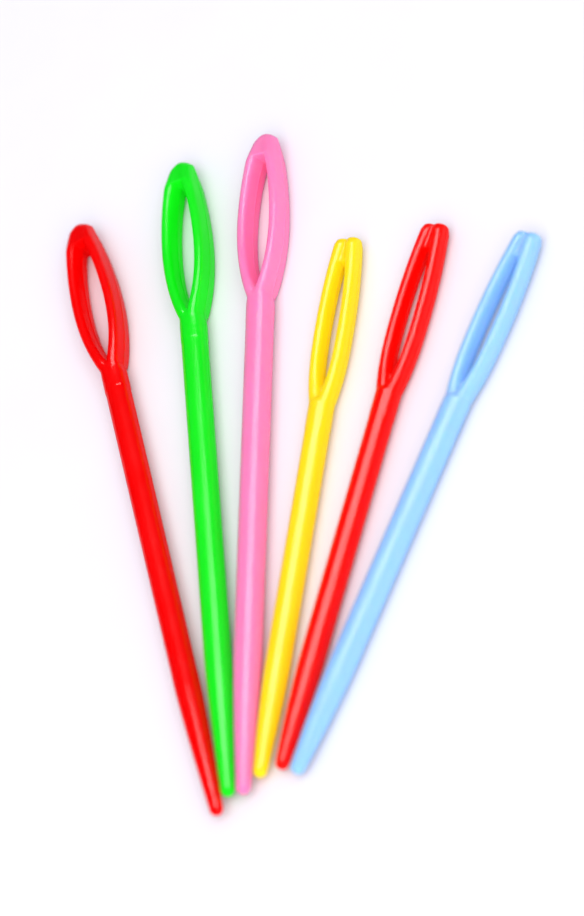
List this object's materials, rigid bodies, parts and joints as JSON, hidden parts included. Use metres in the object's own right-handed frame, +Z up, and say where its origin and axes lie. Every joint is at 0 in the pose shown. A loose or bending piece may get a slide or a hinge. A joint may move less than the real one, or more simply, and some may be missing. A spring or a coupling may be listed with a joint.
{
  "type": "large-eye plastic yarn needle set",
  "caption": "Loose blunt-tipped plastic yarn needles with long open eyes, in a long arched-eye pattern and a short twin-limb pattern, fanned out on a table.",
  "frame": {"origin": "centre of the fan's footprint, on the table that the needles lie on", "axes": "+Z up from the table; +Y along the pink needle from its point to its eye; +X to the right across the fan, from the long needles to the short ones"},
  "size_m": [0.0658, 0.0918, 0.0037],
  "materials": {
    "red_plastic": "glossy, moulded",
    "green_plastic": "glossy, moulded",
    "pink_plastic": "glossy, moulded",
    "yellow_plastic": "glossy, moulded",
    "orange_red_plastic": "glossy, moulded",
    "blue_plastic": "glossy, moulded"
  },
  "bodies": {
    "red_long": {"long_needle_red": "red_plastic"},
    "green_long": {"long_needle_green": "green_plastic"},
    "pink_long": {"long_needle_pink": "pink_plastic"},
    "yellow_short": {"short_needle_yellow": "yellow_plastic"},
    "red_short": {"short_needle_red": "orange_red_plastic"},
    "blue_short": {"short_needle_blue": "blue_plastic"}
  },
  "joints": [
    {"name": "lift_red_long", "type": "slide", "parent": "pink_long", "child": "red_long", "axis": [0, 0, 1], "range_m": [0, 0.03]},
    {"name": "lift_green_long", "type": "slide", "parent": "pink_long", "child": "green_long", "axis": [0, 0, 1], "range_m": [0, 0.03]},
    {"name": "lift_yellow_short", "type": "slide", "parent": "pink_long", "child": "yellow_short", "axis": [0, 0, 1], "range_m": [0, 0.03]},
    {"name": "lift_red_short", "type": "slide", "parent": "pink_long", "child": "red_short", "axis": [0, 0, 1], "range_m": [0, 0.03]},
    {"name": "lift_blue_short", "type": "slide", "parent": "pink_long", "child": "blue_short", "axis": [0, 0, 1], "range_m": [0, 0.03]}
  ]
}
